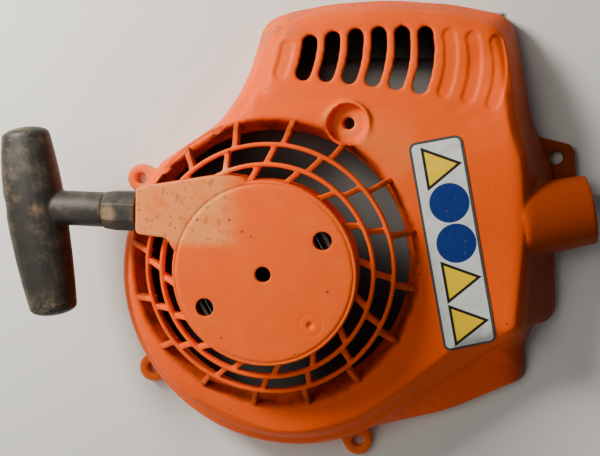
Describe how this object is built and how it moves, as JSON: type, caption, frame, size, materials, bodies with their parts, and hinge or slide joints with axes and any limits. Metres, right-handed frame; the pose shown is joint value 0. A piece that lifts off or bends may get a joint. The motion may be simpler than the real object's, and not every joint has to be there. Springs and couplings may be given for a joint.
{
  "type": "recoil starter",
  "caption": "Orange fan housing of a small engine with a round intake grille, a raised rope starter, vent slots, an air spigot and a black T-grip on a rewinding rope.",
  "frame": {"origin": "on the axis about which the rope rotor turns, in the plane of the housing's rear rim", "axes": "+Z along the rotor's axis out of the front face, +X towards the side with the air spigot, +Y towards the head with the vent slots; the grip lies towards -X"},
  "size_m": [0.2638, 0.2171, 0.06],
  "materials": {
    "orange_plastic": "moulded, worn satin",
    "black_plastic": "moulded",
    "grip_rubber": "hard rubber, worn",
    "black_foam": "foam",
    "label_film": "printed film",
    "bright_steel": "zinc plated",
    "spring_steel": "blued strip",
    "pawl_steel": "sintered",
    "bronze": "sintered",
    "rope": "braided cord"
  },
  "bodies": {
    "housing": {"fan_housing": "orange_plastic", "screw_ears": "orange_plastic", "front_boss": "orange_plastic", "air_spigot": "orange_plastic", "intake_grille": "orange_plastic", "starter_housing": "orange_plastic", "starter_post": "bright_steel", "air_baffle": "black_foam", "safety_label": "label_film", "rope_eyelet": "bright_steel", "spring_cassette": "black_plastic", "cassette_screws": "bright_steel", "rewind_spring": "spring_steel", "retaining_washer": "bright_steel", "retaining_screw": "bright_steel", "rope_lead": "rope"},
    "rotor": {"rope_rotor": "black_plastic", "rotor_bush": "bronze", "rope_winding": "rope", "rotor_knot": "rope", "pawl_pins": "bright_steel", "pawl_pin_clips": "bright_steel"},
    "pawl_a": {"pawl_1": "pawl_steel"},
    "pawl_b": {"pawl_2": "pawl_steel"},
    "pawl_plate": {"pawl_spring": "bright_steel"},
    "grip": {"grip_body": "grip_rubber", "grip_nose": "grip_rubber", "grip_knot": "rope", "knot_washer": "bright_steel"}
  },
  "joints": [
    {"name": "rotor_spin", "type": "hinge", "parent": "housing", "child": "rotor", "pos_m": [0, 0, 0.047], "axis": [0, 0, 1], "range_deg": [0, 1710], "stiffness_Nm_per_rad": 0.0083, "springref_deg": -1375.1, "deforming": ["rewind_spring"]},
    {"name": "grip_pull", "type": "slide", "parent": "housing", "child": "grip", "axis": [-0.999, 0.0454, 0], "range_m": [0, 0.739], "deforming": ["rope_lead"]},
    {"name": "pawl_swing_1", "type": "hinge", "parent": "rotor", "child": "pawl_a", "pos_m": [0.022, 0, 0.0413], "axis": [0, 0, -1], "range_deg": [0, 28]},
    {"name": "pawl_swing_2", "type": "hinge", "parent": "rotor", "child": "pawl_b", "pos_m": [-0.022, 0, 0.0413], "axis": [0, 0, -1], "range_deg": [0, 28]},
    {"name": "pawl_plate_turn", "type": "hinge", "parent": "rotor", "child": "pawl_plate", "pos_m": [0, 0, 0.0378], "axis": [0, 0, -1], "range_deg": [0, 3.5]}
  ],
  "couplings": [
    {"joint": "grip_pull", "follows": "rotor_spin", "m_per_rad": 0.02475},
    {"joint": "pawl_swing_2", "follows": "pawl_swing_1", "ratio": 1},
    {"joint": "pawl_plate_turn", "follows": "pawl_swing_1", "ratio": 0.125}
  ]
}
